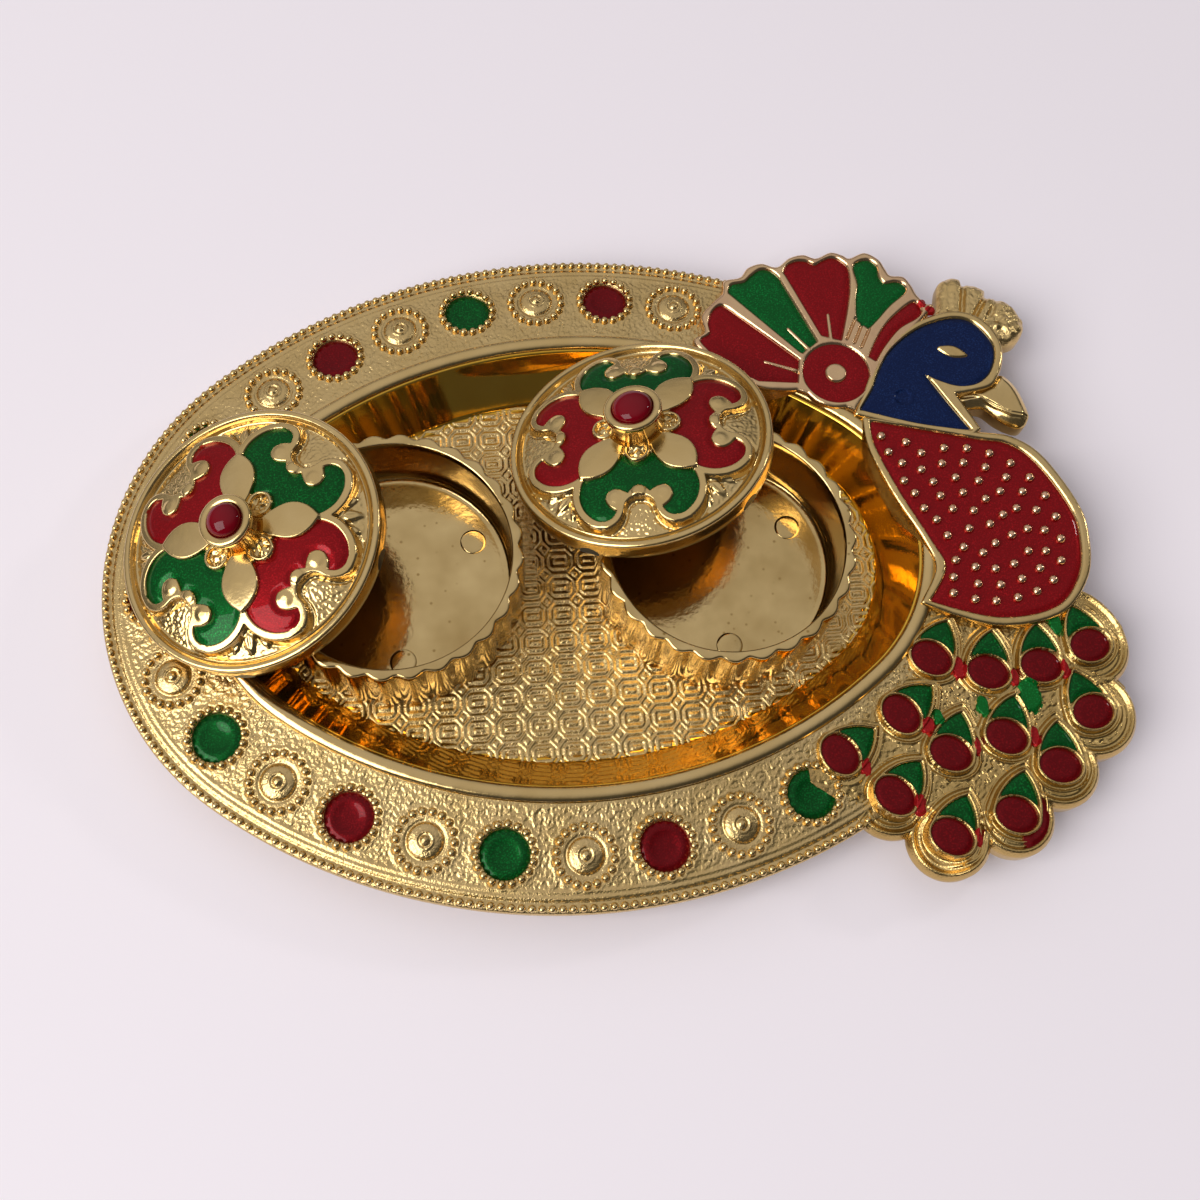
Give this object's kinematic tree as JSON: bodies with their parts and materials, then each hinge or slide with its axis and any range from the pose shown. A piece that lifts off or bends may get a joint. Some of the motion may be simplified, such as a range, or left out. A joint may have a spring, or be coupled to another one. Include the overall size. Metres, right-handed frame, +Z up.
{
  "type": "tikka plate",
  "caption": "Oval gold-plated puja plate with a peacock along one end, enamel dots round the flange, and fluted cups in its well with loose jewelled lids.",
  "frame": {"origin": "middle of the oval, on the underside of the base where it stands on the table", "axes": "+X along the oval towards the peacock, +Y towards the fan of the peacock's wing, +Z up"},
  "size_m": [0.1509, 0.105, 0.0258],
  "materials": {
    "gold_plate": "bright gold plating on moulded dark plastic",
    "red_enamel": "glossy poured enamel with a fine metallic sparkle",
    "green_enamel": "glossy poured enamel with a fine metallic sparkle",
    "blue_enamel": "glossy poured enamel",
    "ruby": "clear red resin stone, foil backed"
  },
  "bodies": {
    "tray": {"tray": "gold_plate", "rim_red_enamel": "red_enamel", "rim_green_enamel": "green_enamel", "fan_red_enamel": "red_enamel", "fan_green_enamel": "green_enamel", "hub_red_enamel": "red_enamel", "neck_blue_enamel": "blue_enamel", "breast_red_enamel": "red_enamel", "tail_red_enamel": "red_enamel", "tail_green_enamel": "green_enamel", "cup_left": "gold_plate", "cup_right": "gold_plate"},
    "left_lid": {"lid_left": "gold_plate", "ruby_left": "ruby", "lid_left_red_enamel": "red_enamel", "lid_left_green_enamel": "green_enamel"},
    "right_lid": {"lid_right": "gold_plate", "ruby_right": "ruby", "lid_right_red_enamel": "red_enamel", "lid_right_green_enamel": "green_enamel"}
  },
  "joints": [
    {"name": "left_lid_lift", "type": "slide", "parent": "tray", "child": "left_lid", "axis": [0, 0, 1], "range_m": [0, 0.05]},
    {"name": "right_lid_lift", "type": "slide", "parent": "tray", "child": "right_lid", "axis": [0, 0, 1], "range_m": [0, 0.05]}
  ]
}
